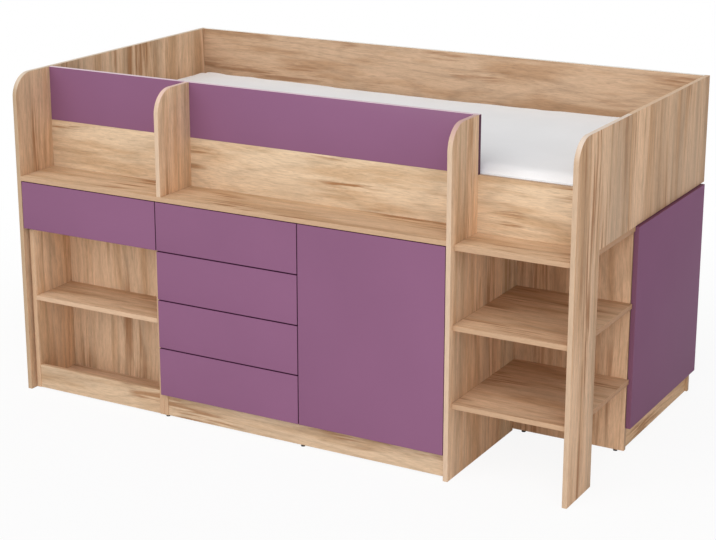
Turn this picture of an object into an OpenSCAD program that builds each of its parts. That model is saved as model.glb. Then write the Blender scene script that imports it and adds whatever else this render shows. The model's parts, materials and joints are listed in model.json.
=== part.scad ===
// Mid-height loft bed with front cabinets, three steps and an end cabinet, in millimetres
// X runs along the bed, Y from the front edge to the back board, Z up from the floor
// Modules place everything from the front left corner, and placed() centres the whole part

/* [Mattress] */
// Length of the mattress that the bed is built around
mattress_l = 2000; // [1800:10:2100]
// Width of the mattress
mattress_w = 900; // [800:10:1200]
// Thickness of the mattress
mattress_t = 140; // [100:5:180]
// Free space between the mattress and each end panel
mattress_end_gap = 4; // [2:1:20]
// Free space between the mattress and the rail or the back board
mattress_side_gap = 10; // [3:1:25]
// Gap between the mattress and the slats
mattress_rest_gap = 0.3; // [0.2:0.1:1]
// Radius of the rounded edges of the mattress
mattress_edge_r = 20; // [10:1:35]
// Radius of the mattress corners seen from above
mattress_corner_r = 55; // [40:5:90]
// Rise of the middle of the mattress above its edges
mattress_crown = 6; // [2:1:12]
// How far the middle of the mattress border is drawn in
mattress_draw = 3; // [1:0.5:6]

/* [Boards] */
// Thickness of the laminated boards
board_t = 16; // [15:0.5:19]
// Thickness of the thin back panels and drawer bottoms
thin_t = 3; // [2.5:0.5:4]
// Radius of the rounded top front corner of the ends and uprights
corner_r = 80; // [30:5:120]

/* [Heights] */
// Height of the cabinet tops, where the bed's own boards start
deck_z = 753; // [700:1:820]
// Height of the front rail board
rail_h = 180; // [120:5:220]
// Height of the guard board above the rail
guard_h = 185; // [120:5:240]
// Height of the underside of the cabinet bottoms
plinth_h = 86; // [70:1:110]

/* [Pads] */
// Height of the pads under the cabinets
glide_h = 6; // [3:1:10]
// Diameter of the pads
glide_d = 14; // [8:1:15]
// Distance of the front pads behind the bookcase's front edges
glide_front_inset = 22; // [10:1:40]
// Distance of the rear pads from the back of the bookcase
glide_rear_inset = 25; // [10:1:40]
// Distance of the left pads from the left end of the board behind the steps
end_glide_left = 52; // [30:1:90]
// Distance of the right pads from the right end of the board behind the steps
end_glide_right = 31; // [21:1:80]

/* [Front edge] */
// Depth of the ledge between the front edge and the rail
ledge_d = 178; // [150:1:240]
// Width of the lower part of the right end post
post_w = 184; // [120:1:220]
// Distance from the front edge to the seam in the right end
end_seam_y = 411; // [300:1:470]
// Left face of the short upright on the ledge
short_upright_x = 580; // [400:1:900]

/* [Fronts] */
// Gap between neighbouring fronts
front_gap = 3; // [2:0.5:5]
// Gap between a front and the board or edge beside it
front_reveal = 2; // [1.5:0.5:3]
// Space between the back of a front and the cabinet's edges
front_buffer = 2; // [1.5:0.5:3]
// How far the fronts hang below the cabinet bottoms
front_lap = 2; // [0:1:10]
// How far the plinths stand back from the cabinet's edges
plinth_setback = 3; // [1:1:20]

/* [Bookcase] */
// Outside width of the bookcase
bookcase_w = 544; // [450:1:600]
// Distance from the front edge to the back of the bookcase
bookcase_d = 215; // [190:1:300]
// Space between the left end panel and the bookcase
bookcase_gap = 11; // [2:1:20]
// Height of the underside of the bookcase shelf
bookcase_shelf_z = 328; // [200:1:450]
// Height of the underside of the bookcase bottom
bookcase_bottom_z = 15; // [10:1:40]
// Height of the top edge of the lip in front of the bookcase bottom
bookcase_lip_z = 89; // [60:1:120]

/* [Chest] */
// Space between the bookcase and the chest
cabinet_gap = 1; // [0.5:0.5:3]
// Distance from the front edge to the back of the chest
chest_d = 372; // [360:1:450]
// Inside width of the drawer column
drawer_col_w = 515; // [420:1:560]
// Height of the underside of the shelf behind the chest door
chest_shelf_z = 400; // [300:1:500]
// Width of the rails across the tops of the bookcase and the chest
top_rail_w = 80; // [40:1:84]

/* [Drawers] */
// Thickness of the drawer box boards
box_t = 12; // [10:1:15]
// Height of the drawer boxes
box_h = 118; // [80:1:125]
// Height of a box above the lower edge of its front
box_lift = 24; // [22:1:30]
// Height of the groove for the drawer bottom above the box's lower edge
groove_z = 9; // [6:1:15]
// Depth of the groove for the drawer bottom
groove_d = 4; // [3:0.5:6]
// Clearance of the drawer bottom in its groove on each side
groove_gap = 0.2; // [0.1:0.1:0.5]
// Free space behind the drawer boxes in the chest
chest_drawer_gap = 33; // [15:1:100]
// Free space behind the drawer box in the bookcase
bookcase_drawer_gap = 16; // [15:1:50]

/* [Runners] */
// Space between a cabinet side and the drawer box
runner_space = 12.5; // [12:0.5:15]
// Thickness of the runner steel
steel_t = 1.2; // [1:0.1:1.5]
// Diameter of the runner rollers
roller_d = 19; // [16:0.5:20]
// Width of the runner rollers
roller_w = 6; // [4:0.5:7]
// Diameter of the roller pins
roller_pin_d = 5; // [3:0.5:8]
// Clearance above and below a roller
roller_gap = 0.3; // [0.2:0.1:0.6]
// Distance from a runner's end to the middle of its roller
roller_inset = 12; // [11:1:20]
// Clearance between the moving lip and the top of the fixed channel
lip_gap = 1; // [0.5:0.1:2]
// How far the moving lip stops short of the front roller's outer side
lip_inset = 0.5; // [0:0.1:1]
// Distance of the fixed runner behind the cabinet's front edge
runner_setback = 2; // [1:1:10]

/* [Steps] */
// Width of the steps between the tall upright and the right end
step_w = 379; // [300:1:450]
// Distance from the front edge to the board behind the steps
step_d = 482; // [460:1:560]

/* [End cabinet] */
// How far the end door stands out from the right end
end_proud = 11; // [3:1:17]
// Space between the end cabinet and the back of the bed
end_rear_gap = 24; // [0:1:60]
// How far the end cabinet's plinth stands back from the cabinet's edges
end_plinth_setback = 8; // [1:1:20]
// Height of the underside of the end cabinet's shelf
end_shelf_z = 410; // [300:1:500]
// Distance of the shelf's front edge behind the cabinet's edges
shelf_setback = 10; // [5:1:40]

/* [Slatted base] */
// Height of the bearers above the lower edge of the rail
bearer_lift = 6; // [0:1:20]
// Height of the bearers
bearer_h = 40; // [25:1:50]
// Thickness of the bearers
bearer_t = 25; // [18:1:35]
// Thickness of the slats
slat_t = 18; // [12:1:22]
// Width of the slats
slat_w = 70; // [50:1:100]
// Number of slats
slat_count = 14; // [10:1:17]
// Free space between the last slats and the end panels
slat_end_gap = 10; // [2:1:30]
// Clearance between a slat's end and the board beside it
slat_gap = 1; // [0.5:0.5:3]

/* [Back] */
// Height of the underside of the board that ties the left end to the end cabinet
stretcher_z = 120; // [90:5:400]
// Height of that board
stretcher_h = 160; // [100:5:250]

/* [Hinges and latches] */
// Diameter of the cups in the doors
cup_d = 35; // [30:1:40]
// Depth of the cups
cup_depth = 11.5; // [10:0.5:12.5]
// Distance from a door's edge to the rim of its cups
cup_edge = 5; // [4:1:8]
// Clearance around a cup in its bore
cup_gap = 0.1; // [0.05:0.05:0.3]
// Clearance between a cup and the floor of its bore
cup_floor_gap = 0.3; // [0.1:0.1:0.5]
// Thickness of a cup's flange
flange_t = 1; // [0.8:0.1:1.4]
// Width of a cup's flange
flange_w = 26; // [24:1:30]
// Height of a cup's flange
flange_h = 56; // [48:1:64]
// Width of the pocket in a cup
pocket_w = 20; // [18:0.5:21]
// How far the pocket's middle lies from the cup's middle, towards the door's edge
pocket_shift = 1.5; // [0:0.5:2]
// Clearance above and below an arm in its pocket
pocket_gap = 2; // [1:0.5:3]
// Thickness of a cup under its pocket
pocket_floor_t = 2.5; // [1.5:0.5:4]
// Clearance between an arm's nose and the far side of its pocket
nose_side_gap = 2; // [1:0.5:4]
// Clearance between an arm's nose and the floor of its pocket
nose_floor_gap = 1.5; // [0.5:0.5:3]
// Distance from the back of a door to the bend at the arm's nose
nose_bend = 6; // [4:0.5:8]
// Distance from the back of a door to the bend in front of the arm's plate
arm_bend = 24; // [18:1:28]
// Distance from the back of a door to the arm's plate
plate_setback = 29; // [20:1:37]
// Height of the hinge arms
arm_h = 12; // [10:1:14]
// Thickness of the hinge arms
arm_t = 9; // [7:0.5:10]
// Thickness of the plates that carry the hinge arms
plate_t = 8; // [6:1:10]
// Height of the plates that carry the hinge arms
plate_h = 32; // [26:1:44]
// Length of the plates that carry the hinge arms
plate_l = 40; // [30:1:50]
// Distance of a hinge from the door's upper or lower edge
hinge_inset = 90; // [70:5:140]
// Thickness of the push latch housings
latch_t = 12; // [10:1:16]
// Length of the push latch housings
latch_l = 60; // [40:1:80]
// Distance of a latch housing behind the cabinet's front edges
latch_setback = 20; // [10:1:30]
// Height of a latch above the middle of its door
latch_lift = 140; // [80:5:200]
// Diameter of the push latch plungers
plunger_d = 8; // [6:1:10]
// Clearance between a plunger and its door
plunger_gap = 0.3; // [0.2:0.1:0.5]

/* [Hidden] */
$fn = 72;
oak = [0.76, 0.60, 0.44];
purple = [0.37, 0.20, 0.36];
white_cloth = [0.93, 0.93, 0.93];
pine = [0.85, 0.72, 0.52];
box_grey = [0.86, 0.86, 0.85];
steel = [0.75, 0.76, 0.78];
white_metal = [0.90, 0.90, 0.90];
black_plastic = [0.06, 0.06, 0.06];

// Past is how far a cut runs past the faces that it opens
past = 1;

// Overall sizes
bed_l = mattress_l + 2 * mattress_end_gap + 2 * board_t;
rail_y = ledge_d;
rail_back_y = ledge_d + board_t;
back_y = rail_back_y + mattress_w + 2 * mattress_side_gap;
bed_d = back_y + board_t;
rail_top_z = deck_z + rail_h;
bed_h = rail_top_z + guard_h;
right_x = bed_l - board_t;

// Places along the bed
bookcase_x = board_t + bookcase_gap;
bookcase_end_x = bookcase_x + bookcase_w;
chest_x = bookcase_end_x + cabinet_gap;
drawer_x = chest_x + board_t;
divider_x = drawer_x + drawer_col_w;
tall_x = right_x - step_w - board_t;
step_x = tall_x + board_t;

// Depths
carcass_y = board_t + front_buffer;
plinth_y = carcass_y + plinth_setback;
plinth_back_y = plinth_y + board_t;
bookcase_back_y = bookcase_d - thin_t;
chest_back_y = chest_d - thin_t;
end_side_y = step_d + board_t;

// The end cabinet faces the right end, so its front edges lie along X
end_front_x = bed_l + end_proud;
end_carcass_x = end_front_x - board_t - front_buffer;
end_plinth_x = end_carcass_x - end_plinth_setback;
end_rear_y = bed_d - end_rear_gap;
end_rear_inner_y = end_rear_y - board_t;

// Fronts
front_low_z = plinth_h - front_lap;
front_top_z = deck_z - front_reveal;
drawer_count = 4;
front_h = (front_top_z - front_low_z - (drawer_count - 1) * front_gap) / drawer_count;
front_pitch = front_h + front_gap;
column_seam_x = (bookcase_end_x + chest_x) / 2;
door_seam_x = divider_x + board_t / 2;
door_left_x = door_seam_x + front_gap / 2;
door_right_x = tall_x - front_reveal;
end_door_front_y = step_d + front_reveal;
end_door_back_y = end_rear_y - front_reveal / 2;
bookcase_divider_z = front_low_z + (drawer_count - 1) * front_pitch + front_reveal;

// Each drawer has its column's left and right inside faces, its height and its runner length
// Drawers one to four are the chest's from the bottom up, and drawer five is the bookcase's
bookcase_drawer = drawer_count + 1;
function in_bookcase(k) = k == bookcase_drawer;
function level(k) = in_bookcase(k) ? drawer_count - 1 : k - 1;
function column_left(k) = in_bookcase(k) ? bookcase_x + board_t : drawer_x;
function column_right(k) = in_bookcase(k) ? bookcase_end_x - board_t : divider_x;
function front_left(k) = in_bookcase(k) ? board_t + front_reveal : column_seam_x + front_gap / 2;
function front_right(k) = in_bookcase(k) ? column_seam_x - front_gap / 2 : door_seam_x - front_gap / 2;
function front_z(k) = front_low_z + level(k) * front_pitch;
function box_z(k) = front_z(k) + box_lift;
bookcase_box_end_y = bookcase_back_y - bookcase_drawer_gap;
chest_box_end_y = chest_back_y - chest_drawer_gap;
function box_end_y(k) = in_bookcase(k) ? bookcase_box_end_y : chest_box_end_y;
function runner_l(k) = box_end_y(k) - board_t;
function box_left(k) = column_left(k) + runner_space;
function box_right(k) = column_right(k) - runner_space;

// Runner heights above the lower edge of the drawer box
roller_mid_z = steel_t + roller_gap + roller_d / 2;
lip_low_z = roller_mid_z + roller_d / 2 + roller_gap;
channel_h = lip_low_z + steel_t + lip_gap + steel_t;
// Runner places across the gap between the cabinet side and the box
web_x = runner_space - steel_t;
roller_x = (steel_t + web_x - roller_w) / 2;
flange_reach = web_x - lip_gap;

// Hinge places, measured from the edge on which the door turns
cup_mid = cup_edge + cup_d / 2;
pocket_mid = pocket_shift - cup_mid;
pocket_half_h = arm_h / 2 + pocket_gap;
pocket_floor = board_t - cup_depth + pocket_floor_t;
nose_low = pocket_floor + nose_floor_gap;
nose_turn = board_t + nose_bend;
arm_turn = board_t + arm_bend;
plate_start = board_t + plate_setback;
plate_end = plate_start + plate_l;
hinge_low_z = front_low_z + hinge_inset;
hinge_high_z = front_top_z - hinge_inset;

// Pads under the cabinets
bookcase_glide_ys = [carcass_y + glide_front_inset, bookcase_d - glide_rear_inset];
chest_glide_ys = [plinth_y + board_t / 2, chest_back_y - board_t / 2];
end_glide_xs = [tall_x + end_glide_left, end_carcass_x - end_glide_right];

module placed() {
    translate([-end_front_x / 2, -bed_d / 2, 0]) children();
}

// A board between two opposite corners
module slab(low, high) {
    translate(low) cube(high - low);
}

// An outline in Y and Z made into a board that stands across the bed
module upright_board(x) {
    translate([x, 0, 0]) rotate([90, 0, 90]) linear_extrude(board_t) children();
}

// The outline of an end or an upright with its rounded top front corner
module rounded_outline(depth, low, high) {
    translate([corner_r, low]) square([depth - corner_r, high - low]);
    translate([0, low]) square([corner_r, high - corner_r - low]);
    intersection() {
        translate([corner_r, high - corner_r]) circle(corner_r);
        translate([0, high - corner_r]) square([corner_r, corner_r]);
    }
}

// Ends and bed boards
module left_end_panel() {
    color(oak) placed() upright_board(0) rounded_outline(bed_d, 0, bed_h);
}

module right_end_post() {
    color(oak) placed() upright_board(right_x) {
        union() {
            rounded_outline(end_seam_y, deck_z, bed_h);
            square([post_w, deck_z]);
        }
    }
}

module right_end_board() {
    color(oak) placed() slab([right_x, end_seam_y, deck_z], [bed_l, bed_d, bed_h]);
}

module back_board() {
    color(oak) placed() slab([board_t, back_y, deck_z], [right_x, bed_d, bed_h]);
}

module front_rail() {
    color(oak) placed() slab([board_t, rail_y, deck_z], [right_x, rail_back_y, rail_top_z]);
}

module guard_board() {
    color(purple) placed() slab([board_t, rail_y, rail_top_z], [step_x, rail_back_y, bed_h]);
}

module ledge() {
    color(oak) placed() slab([board_t, 0, deck_z], [tall_x, ledge_d, deck_z + board_t]);
}

module short_upright() {
    color(oak) placed() upright_board(short_upright_x) rounded_outline(ledge_d, deck_z + board_t, bed_h);
}

module tall_upright() {
    color(oak) placed() upright_board(tall_x) {
        union() {
            rounded_outline(ledge_d, deck_z, bed_h);
            square([chest_d, deck_z]);
        }
    }
}

module back_stretcher() {
    color(oak) placed()
        slab([board_t, end_rear_inner_y, stretcher_z], [tall_x, end_rear_y, stretcher_z + stretcher_h]);
}

// Two bearers and the slats that lie across them
module slatted_base() {
    bearer_z = deck_z + bearer_lift;
    slat_z = bearer_z + bearer_h;
    first_x = board_t + slat_end_gap;
    last_x = right_x - slat_end_gap - slat_w;
    pitch = (last_x - first_x) / (slat_count - 1);
    color(pine) placed() {
        slab([board_t, rail_back_y, bearer_z], [right_x, rail_back_y + bearer_t, slat_z]);
        slab([board_t, back_y - bearer_t, bearer_z], [right_x, back_y, slat_z]);
        for (i = [0 : slat_count - 1]) {
            x = first_x + i * pitch;
            slab([x, rail_back_y + slat_gap, slat_z], [x + slat_w, back_y - slat_gap, slat_z + slat_t]);
        }
    }
}

// The mattress is a stack of rounded rectangles, each with its inset and its height
edge_steps = 4;
border_steps = 4;
crown_steps = 6;
corner_steps = 5;
border_h = mattress_t - mattress_crown - 2 * mattress_edge_r;
// The crown ends in a narrow flat strip along the middle, and its rings keep a small corner radius
strip_half_w = 10;
least_ring_r = 4;
crown_run = mattress_w / 2 - mattress_edge_r - strip_half_w;

function edge_inset(a) = mattress_edge_r * (1 - cos(a));
function edge_rise(a) = mattress_edge_r * sin(a);

mattress_rings = concat(
    [for (i = [edge_steps : -1 : 0])
        let (a = 90 * i / edge_steps)
        [edge_inset(a), mattress_edge_r - edge_rise(a)]],
    [for (i = [1 : border_steps - 1])
        let (v = i / border_steps)
        [mattress_draw * sin(180 * v), mattress_edge_r + border_h * v]],
    [for (i = [0 : edge_steps])
        let (a = 90 * i / edge_steps)
        [edge_inset(a), mattress_edge_r + border_h + edge_rise(a)]],
    [for (i = [1 : crown_steps])
        let (v = i / crown_steps)
        [mattress_edge_r + crown_run * v,
         mattress_t - mattress_crown + mattress_crown * (1 - pow(1 - v, 2))]]
);

function ring_corner(inset, cx, cy, start) = [
    for (j = [0 : corner_steps])
        let (r = max(mattress_corner_r - inset, least_ring_r))
        let (a = start + 90 * j / corner_steps)
        [cx * (mattress_l / 2 - inset - r) + r * cos(a), cy * (mattress_w / 2 - inset - r) + r * sin(a)]
];

function ring_outline(inset) = concat(
    ring_corner(inset, 1, 1, 0),
    ring_corner(inset, -1, 1, 90),
    ring_corner(inset, -1, -1, 180),
    ring_corner(inset, 1, -1, 270)
);

module mattress() {
    n = 4 * (corner_steps + 1);
    count = len(mattress_rings);
    points = [for (ring = mattress_rings) for (p = ring_outline(ring[0])) [p[0], p[1], ring[1]]];
    walls = [for (k = [0 : count - 2]) for (j = [0 : n - 1])
        let (a = k * n + j)
        let (b = k * n + (j + 1) % n)
        each [[a, b + n, b], [a, a + n, b + n]]];
    bottom = [for (j = [0 : n - 1]) j];
    top = [for (j = [n - 1 : -1 : 0]) (count - 1) * n + j];
    mid_y = (rail_back_y + back_y) / 2;
    low_z = deck_z + bearer_lift + bearer_h + slat_t + mattress_rest_gap;
    color(white_cloth) placed() translate([bed_l / 2, mid_y, low_z])
        polyhedron(points, concat(walls, [bottom, top]));
}

// Steps, numbered from the floor up, which divide the height of the cabinet tops evenly
step_count = 3;

module step_board(k) {
    top_z = deck_z * k / step_count;
    color(oak) placed() difference() {
        slab([step_x, carcass_y, top_z - board_t], [bed_l, step_d, top_z]);
        slab([right_x, carcass_y - past, top_z - board_t - past], [bed_l + past, post_w, top_z + past]);
    }
}

module step_bottom() {
    step_board(1);
}

module step_middle() {
    step_board(2);
}

module step_top() {
    step_board(step_count);
}

module step_back_board() {
    color(oak) placed() slab([tall_x, step_d, glide_h], [end_carcass_x, end_side_y, deck_z]);
}

module recess_board() {
    color(oak) placed() slab([tall_x, chest_d, 0], [step_x, step_d, deck_z]);
}

// Bookcase
module bookcase_side_left() {
    color(oak) placed() slab([bookcase_x, carcass_y, glide_h], [bookcase_x + board_t, bookcase_d, deck_z]);
}

module bookcase_side_right() {
    color(oak) placed()
        slab([bookcase_end_x - board_t, carcass_y, glide_h], [bookcase_end_x, bookcase_d, deck_z]);
}

module bookcase_board(low_y, low_z, high_y, high_z) {
    slab([bookcase_x + board_t, low_y, low_z], [bookcase_end_x - board_t, high_y, high_z]);
}

module bookcase_shelf() {
    color(oak) placed()
        bookcase_board(carcass_y, bookcase_shelf_z, bookcase_back_y, bookcase_shelf_z + board_t);
}

module bookcase_bottom() {
    color(oak) placed()
        bookcase_board(plinth_back_y, bookcase_bottom_z, bookcase_back_y, bookcase_bottom_z + board_t);
}

module bookcase_lip() {
    color(oak) placed() bookcase_board(plinth_y, glide_h, plinth_back_y, bookcase_lip_z);
}

module bookcase_divider() {
    color(oak) placed()
        bookcase_board(carcass_y, bookcase_divider_z, bookcase_back_y, bookcase_divider_z + board_t);
}

module bookcase_back() {
    color(oak) placed() bookcase_board(bookcase_back_y, bookcase_bottom_z, bookcase_d, deck_z);
}

// Chest of drawers with the cupboard beside it, whose right side is the tall upright
module chest_side() {
    color(oak) placed() slab([chest_x, carcass_y, glide_h], [drawer_x, chest_d, deck_z]);
}

module chest_divider() {
    color(oak) placed()
        slab([divider_x, carcass_y, plinth_h + board_t], [divider_x + board_t, chest_back_y, deck_z]);
}

module chest_bottom() {
    color(oak) placed() slab([drawer_x, carcass_y, plinth_h], [tall_x, chest_back_y, plinth_h + board_t]);
}

module chest_plinth() {
    color(oak) placed() {
        slab([drawer_x, plinth_y, glide_h], [tall_x, plinth_back_y, plinth_h]);
        slab([drawer_x, chest_back_y - board_t, glide_h], [tall_x, chest_back_y, plinth_h]);
    }
}

module chest_back() {
    color(oak) placed() slab([drawer_x, chest_back_y, plinth_h], [tall_x, chest_d, deck_z]);
}

module chest_shelf() {
    color(oak) placed()
        slab([divider_x + board_t, carcass_y + shelf_setback, chest_shelf_z],
             [tall_x, chest_back_y, chest_shelf_z + board_t]);
}

// One front and one rear rail between two upright boards
module rail_pair(low_x, high_x, rear_y) {
    slab([low_x, carcass_y, deck_z - board_t], [high_x, carcass_y + top_rail_w, deck_z]);
    slab([low_x, rear_y - top_rail_w, deck_z - board_t], [high_x, rear_y, deck_z]);
}

module top_rails() {
    color(oak) placed() {
        rail_pair(bookcase_x + board_t, bookcase_end_x - board_t, bookcase_back_y);
        rail_pair(drawer_x, divider_x, chest_back_y);
        rail_pair(divider_x + board_t, tall_x, chest_back_y);
    }
}

// End cabinet, which opens to the right under the right end board
module end_cabinet_side() {
    color(oak) placed() slab([tall_x, end_side_y, glide_h], [step_x, end_rear_inner_y, deck_z]);
}

module end_cabinet_back() {
    color(oak) placed() slab([tall_x, end_rear_inner_y, glide_h], [end_carcass_x, end_rear_y, deck_z]);
}

module end_cabinet_board(high_x, low_z) {
    slab([step_x, end_side_y, low_z], [high_x, end_rear_inner_y, low_z + board_t]);
}

module end_cabinet_bottom() {
    color(oak) placed() end_cabinet_board(end_carcass_x, plinth_h);
}

module end_cabinet_top() {
    color(oak) placed() end_cabinet_board(end_carcass_x, deck_z - board_t);
}

module end_cabinet_shelf() {
    color(oak) placed() end_cabinet_board(end_carcass_x - shelf_setback, end_shelf_z);
}

module end_cabinet_plinth() {
    color(oak) placed()
        slab([end_plinth_x - board_t, end_side_y, glide_h], [end_plinth_x, end_rear_inner_y, plinth_h]);
}

// Drawers
module drawer_front(k) {
    color(purple) placed()
        slab([front_left(k), 0, front_z(k)], [front_right(k), board_t, front_z(k) + front_h]);
}

// One box side as it stands on the left, with the groove for the bottom in its inner face
module box_side(k) {
    groove_low = groove_z - groove_gap;
    groove_high = groove_z + thin_t + groove_gap;
    difference() {
        slab([0, board_t, 0], [box_t, box_end_y(k), box_h]);
        slab([box_t - groove_d, board_t - past, groove_low],
             [box_t + past, box_end_y(k) + past, groove_high]);
    }
}

module drawer_box(k) {
    inner = box_right(k) - box_left(k) - 2 * box_t;
    bottom_reach = groove_d - groove_gap;
    color(box_grey) placed() translate([box_left(k), 0, box_z(k)]) {
        box_side(k);
        translate([inner + 2 * box_t, 0, 0]) mirror([1, 0, 0]) box_side(k);
        slab([box_t, box_end_y(k) - box_t, groove_z + thin_t], [box_t + inner, box_end_y(k), box_h]);
        slab([box_t - bottom_reach, board_t, groove_z],
             [box_t + inner + bottom_reach, box_end_y(k), groove_z + thin_t]);
    }
}

// A roller with its pin, standing out from a web at x = 0 towards +X
module roller(reach) {
    rotate([0, 90, 0]) {
        cylinder(h = reach, d = roller_pin_d);
        translate([0, 0, reach]) cylinder(h = roller_w, d = roller_d);
    }
}

// The fixed channel as it stands on a left cabinet side, seen along Y
module channel_outline() {
    square([steel_t, channel_h]);
    square([flange_reach, steel_t]);
    translate([0, channel_h - steel_t]) square([flange_reach, steel_t]);
}

// The moving rail under and beside a box, with the lip that runs over the front roller
module rail_outline() {
    lip_x = roller_x + lip_inset;
    translate([web_x, -steel_t]) square([steel_t, lip_low_z + 2 * steel_t]);
    translate([web_x, -steel_t]) square([steel_t + box_t, steel_t]);
    translate([lip_x, lip_low_z]) square([runner_space - lip_x, steel_t]);
}

// An outline in X and Z made into a bar that runs backwards along Y
module bar(length) {
    translate([0, length, 0]) rotate([90, 0, 0]) linear_extrude(length) children();
}

module fixed_runner(k) {
    start_y = carcass_y + runner_setback;
    translate([0, start_y, 0]) bar(runner_l(k)) channel_outline();
    translate([steel_t, start_y + roller_inset, roller_mid_z]) roller(roller_x - steel_t);
}

module moving_runner(k) {
    translate([0, board_t, 0]) bar(runner_l(k)) rail_outline();
    translate([web_x, box_end_y(k) - roller_inset, roller_mid_z]) mirror([1, 0, 0])
        roller(web_x - roller_x - roller_w);
}

// The same runner on both sides of a drawer column
module both_sides(k) {
    translate([column_left(k), 0, box_z(k)]) children();
    translate([column_right(k), 0, box_z(k)]) mirror([1, 0, 0]) children();
}

module drawer_runners(k) {
    color(white_metal) placed() both_sides(k) moving_runner(k);
}

module runner_rails() {
    color(white_metal) placed() for (k = [1 : bookcase_drawer]) both_sides(k) fixed_runner(k);
}

// Doors, drawn from the edge on which they turn: x < 0 runs along the door and y > 0 into the cabinet
module door_panel(width) {
    difference() {
        slab([-width, 0, front_low_z], [0, board_t, front_top_z]);
        for (z = [hinge_low_z, hinge_high_z])
            translate([-cup_mid, board_t - cup_depth - cup_floor_gap, z]) rotate([-90, 0, 0])
                cylinder(h = cup_depth + cup_floor_gap + past, d = cup_d + 2 * cup_gap);
    }
}

module hinge_cup() {
    difference() {
        union() {
            translate([-cup_mid, board_t - cup_depth, 0]) rotate([-90, 0, 0])
                cylinder(h = cup_depth, d = cup_d);
            slab([-cup_mid - flange_w / 2, board_t, -flange_h / 2],
                 [-cup_mid + flange_w / 2, board_t + flange_t, flange_h / 2]);
        }
        slab([pocket_mid - pocket_w / 2, pocket_floor, -pocket_half_h],
             [pocket_mid + pocket_w / 2, board_t + flange_t + past, pocket_half_h]);
    }
}

// The arm and its plate on the board whose face lies wall away from the door's edge
module hinge_arm(wall) {
    nose_far = pocket_mid - pocket_w / 2 + nose_side_gap;
    nose_near = nose_far + arm_t;
    arm_near = wall - plate_t;
    arm_far = arm_near - arm_t;
    translate([0, 0, -arm_h / 2]) linear_extrude(arm_h) polygon([
        [arm_near, plate_end],
        [arm_far, plate_end],
        [arm_far, arm_turn],
        [nose_far, nose_turn],
        [nose_far, nose_low],
        [nose_near, nose_low],
        [nose_near, nose_turn],
        [arm_near, arm_turn]
    ]);
    slab([wall - plate_t, plate_start, -plate_h / 2], [wall, plate_end, plate_h / 2]);
}

module at_hinges() {
    for (z = [hinge_low_z, hinge_high_z]) translate([0, 0, z]) children();
}

// The front door turns beside the tall upright and the end door at the back corner
module at_front_door() {
    translate([door_right_x, 0, 0]) children();
}

module at_end_door() {
    translate([end_front_x, end_door_back_y, 0]) rotate([0, 0, 90]) children();
}

module door_front() {
    color(purple) placed() at_front_door() door_panel(door_right_x - door_left_x);
}

module door_end() {
    color(purple) placed() at_end_door() door_panel(end_door_back_y - end_door_front_y);
}

module hinge_cups_front() {
    color(steel) placed() at_front_door() at_hinges() hinge_cup();
}

module hinge_cups_end() {
    color(steel) placed() at_end_door() at_hinges() hinge_cup();
}

module hinge_arms() {
    color(steel) placed() {
        at_front_door() at_hinges() hinge_arm(front_reveal);
        at_end_door() at_hinges() hinge_arm(end_rear_inner_y - end_door_back_y);
    }
}

// A latch that pushes a closed door open, beside a wall at x = 0 with the door at y = 0
module push_latch(reach) {
    slab([0, reach, -latch_t / 2], [latch_t, reach + latch_l, latch_t / 2]);
    translate([latch_t / 2, plunger_gap, 0]) rotate([-90, 0, 0])
        cylinder(h = reach - plunger_gap, d = plunger_d);
}

module push_latches() {
    latch_z = (hinge_low_z + hinge_high_z) / 2 + latch_lift;
    latch_reach = front_buffer + latch_setback;
    color(black_plastic) placed() {
        translate([divider_x + board_t, board_t, latch_z]) push_latch(latch_reach);
        translate([end_front_x - board_t, end_side_y, latch_z]) rotate([0, 0, 90]) push_latch(latch_reach);
    }
}

module glide(x, y) {
    translate([x, y, 0]) cylinder(h = glide_h, d = glide_d);
}

module glides() {
    color(black_plastic) placed() {
        for (x = [bookcase_x, bookcase_end_x - board_t], y = bookcase_glide_ys) glide(x + board_t / 2, y);
        for (x = [chest_x + board_t / 2, door_seam_x], y = chest_glide_ys) glide(x, y);
        for (x = end_glide_xs, y = [step_d, end_rear_inner_y]) glide(x, y + board_t / 2);
        glide(tall_x + board_t / 2, (end_side_y + end_rear_inner_y) / 2);
    }
}

left_end_panel();
right_end_post();
right_end_board();
back_board();
front_rail();
guard_board();
ledge();
short_upright();
tall_upright();
back_stretcher();
slatted_base();
mattress();
step_bottom();
step_middle();
step_top();
step_back_board();
recess_board();
bookcase_side_left();
bookcase_side_right();
bookcase_shelf();
bookcase_bottom();
bookcase_lip();
bookcase_divider();
bookcase_back();
chest_side();
chest_divider();
chest_bottom();
chest_plinth();
chest_back();
chest_shelf();
top_rails();
end_cabinet_side();
end_cabinet_back();
end_cabinet_bottom();
end_cabinet_top();
end_cabinet_shelf();
end_cabinet_plinth();
drawer_front(1);  // drawer_1_front
drawer_box(1);  // drawer_1_box
drawer_runners(1);  // drawer_1_runners
drawer_front(2);  // drawer_2_front
drawer_box(2);  // drawer_2_box
drawer_runners(2);  // drawer_2_runners
drawer_front(3);  // drawer_3_front
drawer_box(3);  // drawer_3_box
drawer_runners(3);  // drawer_3_runners
drawer_front(4);  // drawer_4_front
drawer_box(4);  // drawer_4_box
drawer_runners(4);  // drawer_4_runners
drawer_front(5);  // drawer_5_front
drawer_box(5);  // drawer_5_box
drawer_runners(5);  // drawer_5_runners
runner_rails();
door_front();
door_end();
hinge_cups_front();
hinge_cups_end();
hinge_arms();
push_latches();
glides();
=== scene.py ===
import json
import math

import bmesh
import bpy
from mathutils import Euler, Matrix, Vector, noise

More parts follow.
